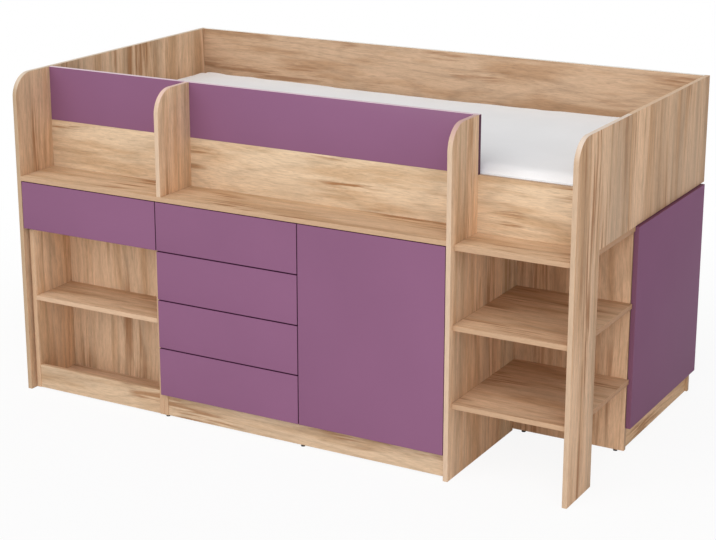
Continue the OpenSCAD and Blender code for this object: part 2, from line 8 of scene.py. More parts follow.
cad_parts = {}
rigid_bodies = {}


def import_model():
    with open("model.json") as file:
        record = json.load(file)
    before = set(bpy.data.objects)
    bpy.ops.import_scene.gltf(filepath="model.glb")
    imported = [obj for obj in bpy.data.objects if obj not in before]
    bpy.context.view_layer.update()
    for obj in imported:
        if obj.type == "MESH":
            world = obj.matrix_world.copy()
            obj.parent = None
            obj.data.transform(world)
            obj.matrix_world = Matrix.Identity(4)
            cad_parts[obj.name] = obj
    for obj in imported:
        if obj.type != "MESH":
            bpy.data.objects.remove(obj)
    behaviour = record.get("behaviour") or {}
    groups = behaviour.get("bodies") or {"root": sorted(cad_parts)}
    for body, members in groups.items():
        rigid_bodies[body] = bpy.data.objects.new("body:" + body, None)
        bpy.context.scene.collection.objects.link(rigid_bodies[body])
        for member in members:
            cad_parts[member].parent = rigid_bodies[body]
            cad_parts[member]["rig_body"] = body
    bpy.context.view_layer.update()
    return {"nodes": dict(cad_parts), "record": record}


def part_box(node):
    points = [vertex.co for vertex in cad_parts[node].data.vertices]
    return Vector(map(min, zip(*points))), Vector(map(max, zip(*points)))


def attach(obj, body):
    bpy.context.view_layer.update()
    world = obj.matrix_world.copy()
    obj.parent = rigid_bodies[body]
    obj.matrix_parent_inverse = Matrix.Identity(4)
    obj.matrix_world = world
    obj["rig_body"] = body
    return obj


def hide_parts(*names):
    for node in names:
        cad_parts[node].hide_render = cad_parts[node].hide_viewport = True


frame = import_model()
nodes = frame["nodes"]
slot_of = {part["node"]: part["material_slot"] for part in frame["record"]["subparts"]}

# Colours, as linear values
OAK_LIGHT = (0.790, 0.570, 0.375)
OAK_MID = (0.640, 0.420, 0.248)
OAK_BROWN = (0.400, 0.200, 0.090)
BAND_CREAM = (0.700, 0.515, 0.365)
BAND_POST = (0.640, 0.455, 0.310)
# The left end panel's edge band, darkened by painted shade
BAND_IN_SHADE = (0.505, 0.355, 0.228)
BAND_SHELF = (0.670, 0.460, 0.305)
BAND_OAK = (0.580, 0.380, 0.238)
PURPLE = (0.262, 0.113, 0.208)
# Dark edge bands of the purple fronts and of the end door, darkened further by painted shade where they
# lie in the gaps
PURPLE_EDGE_AND_SHADE = (0.115, 0.042, 0.085)
# Painted shade in the gaps, on the faces of the fronts and of the end door that look up or down
PURPLE_GAP_SHADE = (0.060, 0.004, 0.038)
PURPLE_GAP_SHADE_END = (0.150, 0.045, 0.085)
PURPLE_EDGE_AND_SHADE_END = (0.210, 0.085, 0.145)
# Painted shade on the steps' faces towards the right
STEP_END_SHADE = (0.900, 0.800, 0.750)
# Painted highlight on the guard board's faces that look up
GUARD_TOP_HIGHLIGHT = (0.800, 0.650, 0.700)
DRAWER_GREY = (0.700, 0.690, 0.670)
PINE_LIGHT = (0.720, 0.540, 0.330)
PINE_DARK = (0.500, 0.300, 0.140)
CLOTH_WHITE = (0.962, 0.968, 0.982)
RUNNER_WHITE = (0.780, 0.780, 0.770)
NICKEL = (0.600, 0.600, 0.590)
PLASTIC_BLACK = (0.018, 0.018, 0.020)
FLOOR_WHITE = (0.940, 0.940, 0.940)
PURE_WHITE = (1, 1, 1, 1)
# Tones of the guard board and of the end door against the other purple boards. The end door's darker
# tone is painted shade on its side, which faces right
GUARD_TONE = (1.03, 1.04, 1.05)
DOOR_END_SHADE_TONE = (0.91, 0.86, 0.90)

# Each oak board: the way its grain runs, the axis across its thickness, its tone, how strong its
# brown streaks are, and the colour of its edge band. The tone is painted light and shade: it makes the
# one laminate lighter on some boards and darker and warmer on others
X, Y, Z = 0, 1, 2
EVEN = (1.0, 0.98, 0.96)
OAK_BOARDS = {
    "left_end_panel": (Z, X, (1.03, 0.98, 0.97), 0.85, BAND_IN_SHADE),
    "right_end_post": (Z, X, (1.11, 1.04, 1.03), 0.9, BAND_POST),
    "right_end_board": (Z, X, (0.93, 0.86, 0.84), 0.7, BAND_OAK),
    "back_board": (X, Y, (0.79, 0.75, 0.75), 0.6, BAND_OAK),
    "front_rail": (X, Y, (1.01, 1.06, 1.10), 1.0, BAND_OAK),
    "ledge": (X, Z, (0.93, 0.90, 0.87), 1.0, BAND_OAK),
    "short_upright": (Z, X, (1.18, 1.16, 1.17), 0.6, BAND_CREAM),
    "tall_upright": (Z, X, (1.18, 1.17, 1.20), 0.8, BAND_CREAM),
    "back_stretcher": (X, Y, (0.95, 0.92, 0.90), 0.6, BAND_OAK),
    "step_bottom": (X, Z, (0.88, 0.81, 0.79), 0.8, BAND_OAK),
    "step_middle": (X, Z, (0.88, 0.82, 0.80), 0.8, BAND_OAK),
    "step_top": (X, Z, (0.92, 0.89, 0.88), 0.8, BAND_OAK),
    "step_back_board": (Z, Y, (0.89, 0.81, 0.78), 0.6, BAND_OAK),
    "recess_board": (Z, X, (1.18, 1.28, 1.36), 0.6, BAND_OAK),
    "bookcase_side_left": (Z, X, (1.19, 1.20, 1.24), 0.6, BAND_OAK),
    "bookcase_side_right": (Z, X, (1.05, 1.00, 1.00), 0.6, BAND_OAK),
    "bookcase_shelf": (X, Z, (0.91, 0.87, 0.87), 0.6, BAND_SHELF),
    "bookcase_bottom": (X, Z, (0.91, 0.88, 0.92), 0.6, BAND_OAK),
    "bookcase_lip": (X, Y, (0.83, 0.83, 0.84), 0.8, BAND_OAK),
    "bookcase_divider": (X, Z, EVEN, 0.6, BAND_OAK),
    "bookcase_back": (Z, Y, (0.95, 0.93, 0.94), 0.80, BAND_OAK),
    "chest_side": (Z, X, EVEN, 0.6, BAND_OAK),
    "chest_divider": (Z, X, EVEN, 0.6, BAND_OAK),
    "chest_bottom": (X, Z, EVEN, 0.6, BAND_OAK),
    "chest_plinth": (X, Y, (0.87, 0.88, 0.90), 0.8, BAND_OAK),
    "chest_back": (Z, Y, EVEN, 0.6, BAND_OAK),
    "chest_shelf": (X, Z, EVEN, 0.6, BAND_OAK),
    "top_rails": (X, Z, EVEN, 0.6, BAND_OAK),
    "end_cabinet_side": (Z, X, EVEN, 0.6, BAND_OAK),
    "end_cabinet_back": (Z, Y, EVEN, 0.6, BAND_OAK),
    "end_cabinet_bottom": (Y, Z, EVEN, 0.6, BAND_OAK),
    "end_cabinet_top": (Y, Z, EVEN, 0.6, BAND_OAK),
    "end_cabinet_shelf": (Y, Z, EVEN, 0.6, BAND_OAK),
    "end_cabinet_plinth": (Y, X, (1.04, 0.96, 0.88), 0.8, BAND_OAK),
}
# Painted light on edge bands that face upward, mostly a paler highlight from above
TOP_BAND_LIGHT = {
    "left_end_panel": (0.750, 0.620, 0.490),
    "right_end_post": (0.850, 0.700, 0.580),
    "right_end_board": (0.710, 0.500, 0.335),
    "back_board": (0.960, 0.930, 0.860),
    "short_upright": (0.830, 0.580, 0.490),
    "tall_upright": (0.640, 0.410, 0.370),
}
# The two boards of the right end differ beside their seam: two places along Y, and the shade
# that is reached at the second
SEAM_SHADES = {"right_end_post": (-0.420, -0.240, 0.80), "right_end_board": (0.100, -0.030, 1.18)}
# Boards whose faces towards the right are darkened by a painted shade
STEP_BOARDS = ("step_bottom", "step_middle", "step_top")

# Layers of a grain: the noise's scale across it and along it, its detail and its roughness
WANDER = (5.0, 1.6, 1.0, 0.5)
GROWTH = (5.0, 0.5, 1.0, 0.4)
BROAD = (11.0, 0.7, 2.0, 0.5)
BLOTCHES = (16.0, 2.4, 3.0, 0.6)
FIGURE = (72.0, 3.6, 4.0, 0.6)
PATCHES = (12.0, 2.8, 2.0, 0.5)
FLECKS = (260.0, 26.0, 3.0, 0.6)
PORES = (800.0, 34.0, 1.0, 0.5)
PINE_RINGS = (90.0, 3.0, 3.0, 0.55)
PINE_FIBRES = (500.0, 14.0, 2.0, 0.5)
# How far the grain wanders, how many growth lines a noise is cut into, and how far each board's
# grain lies from the last one's
WANDER_WIDTH = 0.04
RING_TURNS = 110.0
SEED_SHIFT = (3.7, 6.1, 2.3)
NOISE_MIDDLE = (0.5, 0.5, 0.5)

# On upright and on other boards: a factor on the scale along the grain of the blotches, the figure
# and the patches, the share of the broad shades, and the share of the figure's lines
UPRIGHT_GRAIN = (0.5, 0.9, 0.85)
LYING_GRAIN = (0.9, 0.4, 0.55)

# What a layer's value turns into, as pairs of a value and a shade or a share. The stops are values
# whose colours are in the function, and PORE_SHARE and FIBRE_SHARE are how strong a layer is
BLOTCH_STOPS = (0.36, 0.52, 0.62, 0.76)
BROAD_SHADES = [(0.34, 0.80), (0.48, 0.98), (0.60, 1.06), (0.74, 0.92)]
RING_SHADES = [(0.0, 1.0), (0.60, 0.98), (0.95, 0.91)]
FIGURE_SHADES = [(0.30, 0.78), (0.45, 0.95), (0.58, 1.02), (0.75, 0.94)]
PATCH_SHARES = [(0.54, 0.0), (0.63, 1.0)]
STREAK_SHARES = [(0.42, 1.0), (0.53, 0.0)]
FLECK_SHADES = [(0.34, 0.88), (0.50, 0.97), (0.62, 1.04)]
PORE_SHADES = [(0.30, 0.45), (0.40, 1.0)]
PORE_SHARE = 0.35
BAND_SHADES = [(0.32, 0.90), (0.60, 1.02)]
PINE_STOPS = (0.32, 0.45, 0.70)
FIBRE_SHADES = [(0.3, 0.7), (0.6, 1.0)]
FIBRE_SHARE = 0.3

# Loops of the knitted cover
KNIT_SCALE = 420.0
KNIT_SHADES = [(0.0, 1.0), (0.9, 0.93)]
KNIT_SHARE = 0.6

# Even noises: scale and detail. The stops are where they carry a colour and a darker or lighter one
CLOUDS = (3.0, 2.0)
EMBOSS = (900.0, 1.0)
METAL_MARKS = (60.0, 3.0)
PLASTIC_GRAIN = (1200.0, 1.0)
CLOTH_CLOUDS = (5.0, 3.0)
CLOUD_STOPS = (0.35, 0.65)
MARK_STOPS = (0.3, 0.7)
LAMINATE_DARKER = 0.96
METAL_DARKER = 0.9
PLASTIC_LIGHTER = 1.4
CLOTH_DARKER = 0.97

# Strength and distance of each bump
PORE_BUMP = (0.25, 0.0002)
EMBOSS_BUMP = (0.12, 0.0001)
FIBRE_BUMP = (0.2, 0.0002)
PLASTIC_BUMP = (0.2, 0.0001)
KNIT_BUMP = (0.3, 0.0004)

# Roughness, how far marks or flecks change it, gloss and sheen
OAK_ROUGH = 0.48
OAK_ROUGH_SPREAD = 0.16
PURPLE_ROUGH = 0.55
DRAWER_ROUGH = 0.6
PINE_ROUGH = 0.6
RUNNER_ROUGH = 0.35
NICKEL_ROUGH = 0.28
METAL_ROUGH_SPREAD = 0.12
PLASTIC_ROUGH = 0.55
CLOTH_ROUGH = 0.9
FLOOR_ROUGH = 0.9
OAK_GLOSS = 0.1
LAMINATE_GLOSS = 0.12
FLOOR_GLOSS = 0.2
CLOTH_SHEEN = 0.2

# A face is an edge of its board where its normal's part along the thickness is under EDGE_LIMIT.
# A face begins to look along an axis at the first of FACING_ENDS and does so fully at the second
EDGE_LIMIT = 0.5
FACING_ENDS = (0.1, 0.95)


def link_object(name, data):
    """A new object in the scene."""
    made = bpy.data.objects.new(name, data)
    bpy.context.scene.collection.objects.link(made)
    return made


class Shader:
    """A material and its node tree, with short calls for the nodes that are used here."""

    def __init__(self, name):
        self.material = bpy.data.materials.new(name)
        self.material.use_nodes = True
        self.tree = self.material.node_tree
        self.bsdf = self.tree.nodes["Principled BSDF"]

    def node(self, kind, **values):
        made = self.tree.nodes.new(kind)
        for key, value in values.items():
            setattr(made, key, value)
        return made

    def link(self, source, target):
        self.tree.links.new(source, target)

    def feed(self, sockets, values):
        for socket, value in zip(sockets, values):
            if isinstance(value, bpy.types.NodeSocket):
                self.link(value, socket)
            else:
                socket.default_value = value

    def coordinate(self, name):
        return self.node("ShaderNodeTexCoord").outputs[name]

    def mapped(self, vector, scale, shift=(0, 0, 0)):
        mapping = self.node("ShaderNodeMapping")
        mapping.inputs["Scale"].default_value = scale
        mapping.inputs["Location"].default_value = shift
        self.link(vector, mapping.inputs["Vector"])
        return mapping.outputs["Vector"]

    def noise(self, vector, detail, rough=0.5, output="Fac"):
        made = self.node("ShaderNodeTexNoise")
        made.inputs["Scale"].default_value = 1.0
        made.inputs["Detail"].default_value = detail
        made.inputs["Roughness"].default_value = rough
        self.link(vector, made.inputs["Vector"])
        return made.outputs[output]

    def vector_maths(self, operation, first, second):
        made = self.node("ShaderNodeVectorMath", operation=operation)
        self.feed(made.inputs[:2], (first, second))
        return made.outputs[0]

    def maths(self, operation, first, second=0.0):
        made = self.node("ShaderNodeMath", operation=operation)
        self.feed(made.inputs[:2], (first, second))
        return made.outputs[0]

    def ramp(self, value, stops):
        made = self.node("ShaderNodeValToRGB")
        points = made.color_ramp.elements
        while len(points) < len(stops):
            points.new(0.5)
        for point, (at, colour) in zip(points, stops):
            point.position = at
            point.color = (*colour, 1) if hasattr(colour, "__len__") else (colour, colour, colour, 1)
        self.link(value, made.inputs["Fac"])
        return made.outputs["Color"]

    def mix(self, amount, first, second, blend="MIX"):
        made = self.node("ShaderNodeMix", data_type="RGBA", blend_type=blend)
        sockets = [s for s in made.inputs if s.enabled]
        values = [(*v, 1) if isinstance(v, tuple) else v for v in (amount, first, second)]
        self.feed(sockets, values)
        return [s for s in made.outputs if s.enabled][0]

    def shaded(self, amount, colour, shade):
        return self.mix(amount, colour, shade, "MULTIPLY")

    def speckle(self, place, scale, detail):
        """A noise that is the same in all directions."""
        return self.noise(self.mapped(place, (scale, scale, scale)), detail)

    def split(self, vector):
        """The three parts of a vector."""
        made = self.node("ShaderNodeSeparateXYZ")
        self.link(vector, made.inputs[0])
        return made.outputs

    def faded(self, value, start, end, first, last):
        """Goes softly from first to last while a value goes from start to end."""
        made = self.node("ShaderNodeMapRange", interpolation_type="SMOOTHSTEP")
        self.link(value, made.inputs["Value"])
        self.feed(made.inputs[1:5], (start, end, first, last))
        return made.outputs["Result"]

    def bump(self, height, strength, distance):
        made = self.node("ShaderNodeBump")
        made.inputs["Strength"].default_value = strength
        made.inputs["Distance"].default_value = distance
        self.link(height, made.inputs["Height"])
        self.link(made.outputs["Normal"], self.bsdf.inputs["Normal"])


def stretched(along, across, lengthwise):
    """A texture scale that is coarse along the grain and fine across it."""
    scale = [across] * 3
    scale[along] = lengthwise
    return scale


def toned(colour, tone):
    """A colour times a tone, part by part."""
    return tuple(t * c for t, c in zip(tone, colour))


def scaled(colour, factor):
    """A colour times one number."""
    return tuple(factor * c for c in colour)


def grain_layer(s, place, along, layer, shift=(0, 0, 0), length=1.0, output="Fac"):
    """One noise of a grain that runs along an axis."""
    across, lengthwise, detail, rough = layer
    scale = stretched(along, across, lengthwise * length)
    return s.noise(s.mapped(place, scale, shift), detail, rough, output)


def on_edge(s, thin):
    """One on the narrow faces of a board that is thin along an axis, and zero on its broad faces."""
    part = s.split(s.coordinate("Normal"))[thin]
    return s.maths("LESS_THAN", s.maths("ABSOLUTE", part), EDGE_LIMIT)


def facing_along(s, axis, way=1.0):
    """One on faces that look along an axis, or against it, fading to zero on the faces at its side."""
    part = s.split(s.coordinate("Normal"))[axis]
    start, end = FACING_ENDS
    return s.faded(part, start * way, end * way, 0.0, 1.0)


def oak_material(name, board, seed):
    """Light oak laminate with growth lines, blotches, brown streaks, flecks, pores and an edge band."""
    along, thin, tone, streaks, band = board
    length, broad_share, figure_share = UPRIGHT_GRAIN if along == Z else LYING_GRAIN
    s = Shader("oak_" + name)
    shift = scaled(SEED_SHIFT, seed)
    place = s.coordinate("Object")

    # The grain wanders a little from a straight line
    wander = grain_layer(s, place, along, WANDER, shift, output="Color")
    wander = s.vector_maths("SUBTRACT", wander, NOISE_MIDDLE)
    wander = s.vector_maths("MULTIPLY", wander, 3 * (WANDER_WIDTH,))
    place = s.vector_maths("ADD", place, wander)

    growth = grain_layer(s, place, along, GROWTH, shift)
    rings = s.maths("SINE", s.maths("MULTIPLY", growth, RING_TURNS))
    broad = grain_layer(s, place, along, BROAD, shift[::-1])
    blotches = grain_layer(s, place, along, BLOTCHES, shift, length)
    figure = grain_layer(s, place, along, FIGURE, shift, length)
    patches = grain_layer(s, place, along, PATCHES, shift[::-1], length)
    flecks = grain_layer(s, place, along, FLECKS, shift)
    pores = grain_layer(s, place, along, PORES, shift)

    light, mid, brown = (toned(colour, tone) for colour in (OAK_LIGHT, OAK_MID, OAK_BROWN))
    colour = s.ramp(blotches, list(zip(BLOTCH_STOPS, (mid, light, light, mid))))
    colour = s.shaded(broad_share, colour, s.ramp(broad, BROAD_SHADES))
    colour = s.shaded(1.0, colour, s.ramp(rings, RING_SHADES))
    colour = s.shaded(figure_share, colour, s.ramp(figure, FIGURE_SHADES))
    if name in SEAM_SHADES:
        start, end, last = SEAM_SHADES[name]
        seam = s.faded(s.split(s.coordinate("Object"))[Y], start, end, 1.0, last)
        colour = s.shaded(1.0, colour, seam)
    streak = s.maths("MULTIPLY", s.ramp(patches, PATCH_SHARES), s.ramp(figure, STREAK_SHARES))
    colour = s.mix(s.maths("MULTIPLY", streak, streaks), colour, brown)
    colour = s.shaded(1.0, colour, s.ramp(flecks, FLECK_SHADES))
    colour = s.shaded(PORE_SHARE, colour, s.ramp(pores, PORE_SHADES))

    # The narrow faces carry the edge band
    band = s.shaded(1.0, band, s.ramp(flecks, BAND_SHADES))
    colour = s.mix(on_edge(s, thin), colour, band)
    # Painted light on the edge bands that face upward, mostly a paler highlight
    if name in TOP_BAND_LIGHT:
        on_top = s.maths("MULTIPLY", on_edge(s, thin), facing_along(s, Z))
        colour = s.mix(on_top, colour, TOP_BAND_LIGHT[name])
    # Painted shade on the steps' faces towards the right
    if name in STEP_BOARDS:
        colour = s.shaded(facing_along(s, X), colour, STEP_END_SHADE)
    s.link(colour, s.bsdf.inputs["Base Color"])

    rough = s.maths("ADD", s.maths("MULTIPLY", flecks, OAK_ROUGH_SPREAD), OAK_ROUGH)
    s.link(rough, s.bsdf.inputs["Roughness"])
    s.bsdf.inputs["Specular IOR Level"].default_value = OAK_GLOSS
    s.bump(pores, *PORE_BUMP)
    return s.material


def laminate_material(name, colour, rough, edge=None, thin=Y, gap_shade=None, top=None):
    """Plain coated board with a very fine emboss.

    Its narrow faces take the colour edge. Faces that look up or down take a painted shade for the gaps
    between fronts, and faces that look up take a painted highlight. A colour that isn't given leaves
    its faces as they are."""
    s = Shader(name)
    place = s.coordinate("Object")
    ends = (scaled(colour, LAMINATE_DARKER), colour)
    shade = s.ramp(s.speckle(place, *CLOUDS), list(zip(CLOUD_STOPS, ends)))
    if edge:
        shade = s.mix(on_edge(s, thin), shade, edge)
    # Painted shade of the gaps on faces that look up or down
    if gap_shade:
        for way in (-1.0, 1.0):
            shade = s.mix(facing_along(s, Z, way), shade, gap_shade)
    # Painted highlight on faces that look up
    if top:
        shade = s.mix(facing_along(s, Z), shade, top)
    s.link(shade, s.bsdf.inputs["Base Color"])
    s.bsdf.inputs["Roughness"].default_value = rough
    s.bsdf.inputs["Specular IOR Level"].default_value = LAMINATE_GLOSS
    s.bump(s.speckle(place, *EMBOSS), *EMBOSS_BUMP)
    return s.material


def pine_material():
    """Planed pine, with the grain along each slat."""
    s = Shader("pine")
    place = s.coordinate("Object")
    rings = grain_layer(s, place, Y, PINE_RINGS)
    fibres = grain_layer(s, place, Y, PINE_FIBRES)
    colour = s.ramp(rings, list(zip(PINE_STOPS, (PINE_DARK, PINE_LIGHT, PINE_LIGHT))))
    colour = s.shaded(FIBRE_SHARE, colour, s.ramp(fibres, FIBRE_SHADES))
    s.link(colour, s.bsdf.inputs["Base Color"])
    s.bsdf.inputs["Roughness"].default_value = PINE_ROUGH
    s.bump(fibres, *FIBRE_BUMP)
    return s.material


def metal_material(name, colour, metallic, rough):
    """Coated or plated sheet steel."""
    s = Shader(name)
    marks = s.speckle(s.coordinate("Object"), *METAL_MARKS)
    ends = (scaled(colour, METAL_DARKER), colour)
    s.link(s.ramp(marks, list(zip(MARK_STOPS, ends))), s.bsdf.inputs["Base Color"])
    s.bsdf.inputs["Metallic"].default_value = metallic
    marked = s.maths("ADD", s.maths("MULTIPLY", marks, METAL_ROUGH_SPREAD), rough)
    s.link(marked, s.bsdf.inputs["Roughness"])
    return s.material


def plastic_material(name, colour, rough):
    """Moulded plastic with a fine grained surface."""
    s = Shader(name)
    grain = s.speckle(s.coordinate("Object"), *PLASTIC_GRAIN)
    ends = (colour, scaled(colour, PLASTIC_LIGHTER))
    s.link(s.ramp(grain, list(zip(MARK_STOPS, ends))), s.bsdf.inputs["Base Color"])
    s.bsdf.inputs["Roughness"].default_value = rough
    s.bump(grain, *PLASTIC_BUMP)
    return s.material


def cloth_material():
    """White knitted cover with fine loops."""
    s = Shader("mattress_cloth")
    place = s.coordinate("Object")
    knit = s.node("ShaderNodeTexVoronoi", feature="F1")
    knit.inputs["Scale"].default_value = KNIT_SCALE
    s.link(place, knit.inputs["Vector"])
    loops = s.ramp(knit.outputs["Distance"], KNIT_SHADES)
    ends = (scaled(CLOTH_WHITE, CLOTH_DARKER), CLOTH_WHITE)
    base = s.ramp(s.speckle(place, *CLOTH_CLOUDS), list(zip(CLOUD_STOPS, ends)))
    s.link(s.shaded(KNIT_SHARE, base, loops), s.bsdf.inputs["Base Color"])
    s.bsdf.inputs["Roughness"].default_value = CLOTH_ROUGH
    s.bsdf.inputs["Sheen Weight"].default_value = CLOTH_SHEEN
    s.bump(loops, *KNIT_BUMP)
    return s.material


# Finishes by material slot, and by node for the boards that have a finish of their own
FINISHES = {
    "purple_front": laminate_material("purple_front", PURPLE, PURPLE_ROUGH,
                                      edge=PURPLE_EDGE_AND_SHADE, gap_shade=PURPLE_GAP_SHADE),
    "guard_board": laminate_material("purple_guard", toned(PURPLE, GUARD_TONE), PURPLE_ROUGH,
                                     edge=PURPLE_EDGE_AND_SHADE, top=GUARD_TOP_HIGHLIGHT),
    "door_end": laminate_material("purple_front_end_shaded", toned(PURPLE, DOOR_END_SHADE_TONE), PURPLE_ROUGH,
                                  edge=PURPLE_EDGE_AND_SHADE_END, thin=X, gap_shade=PURPLE_GAP_SHADE_END),
    "drawer_board": laminate_material("drawer_board", DRAWER_GREY, DRAWER_ROUGH),
    "pine": pine_material(),
    "runner_steel": metal_material("runner_steel", RUNNER_WHITE, 0.0, RUNNER_ROUGH),
    "hinge_steel": metal_material("hinge_steel", NICKEL, 1.0, NICKEL_ROUGH),
    "black_plastic": plastic_material("black_plastic", PLASTIC_BLACK, PLASTIC_ROUGH),
    "mattress_cloth": cloth_material(),
}
for number, (name, board) in enumerate(OAK_BOARDS.items()):
    FINISHES[name] = oak_material(name, board, number + 1)

# Every node gets its finish. Boards are shown by copies whose sharp edges are rounded off
BOARD_ROUND = 0.0008
FRONT_ROUND = 0.0013
SLAT_ROUND = 0.0025
ROUND_STEPS = 2
SHARP_ANGLE = math.radians(30)
FLAT_ANGLE = math.radians(0.5)
WELD = 1e-5
ROUNDED_SLOTS = {"oak_laminate": BOARD_ROUND, "purple_front": FRONT_ROUND, "drawer_board": BOARD_ROUND,
                 "pine": SLAT_ROUND}


def rounded_board(name, width):
    """A copy of a board's own shape with rounded edges, which stands for the board."""
    mesh = nodes[name].data.copy()
    work = bmesh.new()
    work.from_mesh(mesh)
    bmesh.ops.remove_doubles(work, verts=work.verts, dist=WELD)
    bmesh.ops.dissolve_limit(work, angle_limit=FLAT_ANGLE, verts=work.verts, edges=work.edges)
    for face in work.faces:
        face.smooth = True
    work.to_mesh(mesh)
    work.free()
    piece = link_object(name + "_shown", mesh)
    bevel = piece.modifiers.new("rounded", "BEVEL")
    bevel.width = width
    bevel.segments = ROUND_STEPS
    bevel.limit_method = "ANGLE"
    bevel.angle_limit = SHARP_ANGLE
    bevel.harden_normals = True
    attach(piece, nodes[name]["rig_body"])
    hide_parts(name)
    return piece


for name, node in nodes.items():
    finish = FINISHES[name] if name in FINISHES else FINISHES[slot_of[name]]
    shown = [node]
    if slot_of[name] in ROUNDED_SLOTS:
        shown.append(rounded_board(name, ROUNDED_SLOTS[slot_of[name]]))
    for piece in shown:
        piece.data.materials.clear()
        piece.data.materials.append(finish)

# Mattress: a foam block in a knitted cover with piping round its upper and lower edges. Its border
# is drawn in between the edges, and its top rises to a crown
MATTRESS_CORNER = 0.055
MATTRESS_EDGE = 0.020
MATTRESS_CROWN = 0.006
MATTRESS_DRAW = 0.003
CROWN_FALL_X, CROWN_FALL_Y = 8, 4
LEAST_CORNER = 0.004
PIPING_R = 0.0035
PIPING_SUNK = 0.4
PIPING_ROUND = 3
EDGE_RINGS = 7
BORDER_RINGS = 8
TOP_RINGS = 22
CORNER_POINTS = 10
SIDE_STEP = 0.025
STRIP_HALF = 0.010
RIPPLE = 0.0010
RIPPLE_SCALES = (7.0, 9.0, 9.0)
COVER_LEVELS = 1

# Cloth simulation of the cover. SIM_HELD is how high the held underside reaches, and SIM_REACH caps
# how far a point moves along X, Y and Z
SIM_FRAMES = 20
SIM_QUALITY = 5
SIM_PRESSURE = 3.0
SIM_EASE = -0.01
SIM_HELD = 0.001
SIM_REACH = (0.0028, 0.0040, 0.0050)
SIM_MASS = 0.3
SIM_TENSION = 15
SIM_SHEAR = 5
SIM_BEND = 0.4


def rounded_ring(half, inset, radius):
    """Points round a rounded rectangle, drawn in by inset, starting at the +X side."""
    a, b = half[0] - inset, half[1] - inset
    r = max(min(radius - inset, a, b), LEAST_CORNER)
    points = []
    for turn, (sx, sy) in enumerate(((1, 1), (-1, 1), (-1, -1), (1, -1))):
        for j in range(CORNER_POINTS + 1):
            angle = math.pi / 2 * (turn + j / CORNER_POINTS)
            points.append((sx * (a - r) + r * math.cos(angle), sy * (b - r) + r * math.sin(angle)))
        along_x = turn % 2 == 0
        count = round(2 * (half[0] if along_x else half[1]) / SIDE_STEP)
        start = points[-1]
        if along_x:
            end = (-start[0], start[1])
        else:
            end = (start[0], -start[1])
        for j in range(1, count):
            t = j / count
            points.append((start[0] + (end[0] - start[0]) * t, start[1] + (end[1] - start[1]) * t))
    return points


def ripple(x, y, z):
    """The small unevenness of a cover over foam."""
    return RIPPLE * noise.noise(Vector([scale * c for scale, c in zip(RIPPLE_SCALES, (x, y, z))]))


def mattress_profile(height):
    """Each ring's inset and height, from the flat underside up over the border to the top's edge."""
    border = height - MATTRESS_CROWN - 2 * MATTRESS_EDGE
    rings = []
    for i in range(EDGE_RINGS + 1):
        angle = math.pi / 2 * (1 - i / EDGE_RINGS)
        rings.append((MATTRESS_EDGE * (1 - math.cos(angle)), MATTRESS_EDGE * (1 - math.sin(angle))))
    for i in range(1, BORDER_RINGS):
        t = i / BORDER_RINGS
        rings.append((MATTRESS_DRAW * math.sin(math.pi * t), MATTRESS_EDGE + border * t))
    for i in range(EDGE_RINGS + 1):
        angle = math.pi / 2 * i / EDGE_RINGS
        level = MATTRESS_EDGE + border + MATTRESS_EDGE * math.sin(angle)
        rings.append((MATTRESS_EDGE * (1 - math.cos(angle)), level))
    return rings


def fill_ring(work, loop):
    """Close a ring by one face at each rounded end and, between them, a row of faces over the X axis."""
    count = len(loop)
    half = count // 2
    # The middle of the +X end comes first, where the opposite point has the same Y
    first = min(range(count), key=lambda j: (abs(loop[j].co.y - loop[j - half].co.y), -loop[j].co.x))
    lefts = [loop[(first + step) % count] for step in range(half + 1)]
    rights = [loop[(first - step) % count] for step in range(half + 1)]
    widest = max(abs(a.co.y - b.co.y) for a, b in zip(lefts, rights))
    cut = next(j for j in range(half) if abs(lefts[j].co.y - rights[j].co.y) > widest - WELD)
    work.faces.new(rights[cut:0:-1] + lefts[:cut + 1])
    for j in range(cut, half - cut):
        work.faces.new((rights[j], lefts[j], lefts[j + 1], rights[j + 1]))
    work.faces.new(lefts[half - cut:] + rights[half - 1:half - cut - 1:-1])


def puff_out(cover, held_z):
    """Cloth simulation of the cover under a little pressure, with its underside held."""
    scene = bpy.context.scene
    held = cover.vertex_groups.new(name="held")
    held.add([v.index for v in cover.data.vertices if v.co.z < held_z], 1.0, "REPLACE")
    modifier = cover.modifiers.new("cloth", "CLOTH")
    cloth = modifier.settings
    cloth.quality = SIM_QUALITY
    cloth.mass = SIM_MASS
    cloth.tension_stiffness = cloth.compression_stiffness = SIM_TENSION
    cloth.shear_stiffness = SIM_SHEAR
    cloth.bending_stiffness = SIM_BEND
    cloth.shrink_min = SIM_EASE
    cloth.vertex_group_mass = "held"
    cloth.use_pressure = True
    cloth.uniform_pressure_force = SIM_PRESSURE
    cloth.effector_weights.gravity = 0
    modifier.point_cache.frame_start = 1
    modifier.point_cache.frame_end = SIM_FRAMES
    for frame_number in range(1, SIM_FRAMES + 1):
        scene.frame_set(frame_number)
    shaped = cover.evaluated_get(bpy.context.evaluated_depsgraph_get()).data
    places = [v.co.copy() for v in shaped.vertices]
    cover.modifiers.remove(modifier)
    cover.vertex_groups.remove(held)
    for vertex, place in zip(cover.data.vertices, places):
        step = place - vertex.co
        for axis, reach in enumerate(SIM_REACH):
            vertex.co[axis] += reach * math.tanh(step[axis] / reach)
    scene.frame_set(1)


